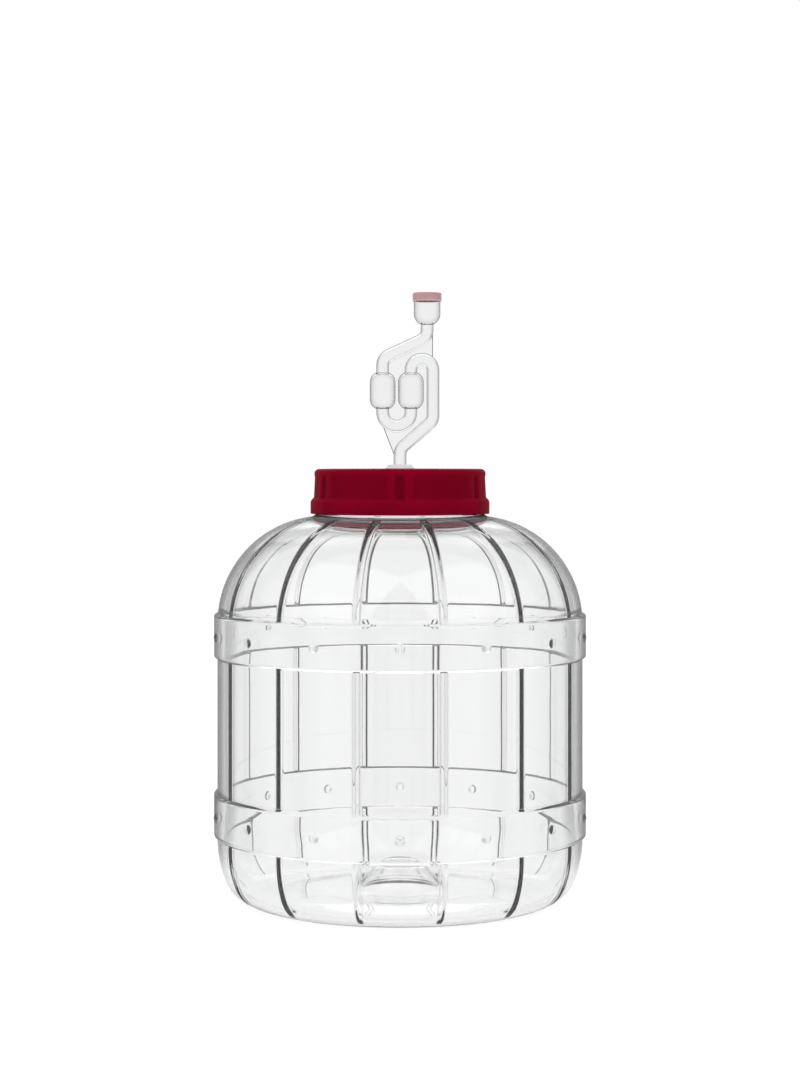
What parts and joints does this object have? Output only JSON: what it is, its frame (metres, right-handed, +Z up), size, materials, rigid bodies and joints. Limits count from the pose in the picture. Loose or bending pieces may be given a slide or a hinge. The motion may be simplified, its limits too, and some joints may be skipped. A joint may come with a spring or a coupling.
{
  "type": "fermentation jar with airlock",
  "caption": "Round stave-pattern glass fermentation jar with moulded hoops, a screw lid, a soft grommet and an S-shaped water airlock with a push-on cap.",
  "frame": {"origin": "centre of the foot, on the surface that the jar stands on", "axes": "+Z up along the jar's axis, the front stave faces -Y, and the airlock's cup lies towards +X"},
  "size_m": [0.2522, 0.2554, 0.4126],
  "materials": {
    "jar_glass": "clear pressed glass with polished grooves",
    "lid_plastic": "satin moulded crimson plastic",
    "seal_rubber": "matt off-white",
    "grommet_silicone": "translucent white silicone",
    "airlock_plastic": "clear moulded plastic",
    "cap_plastic": "translucent pink-red plastic"
  },
  "bodies": {
    "jar": {"jar": "jar_glass"},
    "seal": {"lid_gasket": "seal_rubber"},
    "lid": {"lid": "lid_plastic"},
    "grommet": {"grommet": "grommet_silicone"},
    "airlock": {"airlock_front_half": "airlock_plastic", "airlock_rear_half": "airlock_plastic"},
    "airlock_cap": {"airlock_cap": "cap_plastic"}
  },
  "joints": [
    {"name": "lid_lift", "type": "slide", "parent": "jar", "child": "seal", "axis": [0, 0, 1], "range_m": [0, 0.038]},
    {"name": "lid_turn", "type": "hinge", "parent": "seal", "child": "lid", "pos_m": [0, 0, 0.2765], "axis": [0, 0, 1], "range_deg": [0, 360]},
    {"name": "grommet_pull", "type": "slide", "parent": "lid", "child": "grommet", "axis": [0, 0, 1], "range_m": [0, 0.0196], "deforming": ["grommet"]},
    {"name": "airlock_pull", "type": "slide", "parent": "grommet", "child": "airlock", "axis": [0, 0, 1], "range_m": [0, 0.0357]},
    {"name": "cap_pull", "type": "slide", "parent": "airlock", "child": "airlock_cap", "axis": [0, 0, 1], "range_m": [0, 0.0141]}
  ],
  "couplings": [
    {"joint": "lid_lift", "follows": "lid_turn", "m_per_rad": 0.0060478}
  ]
}
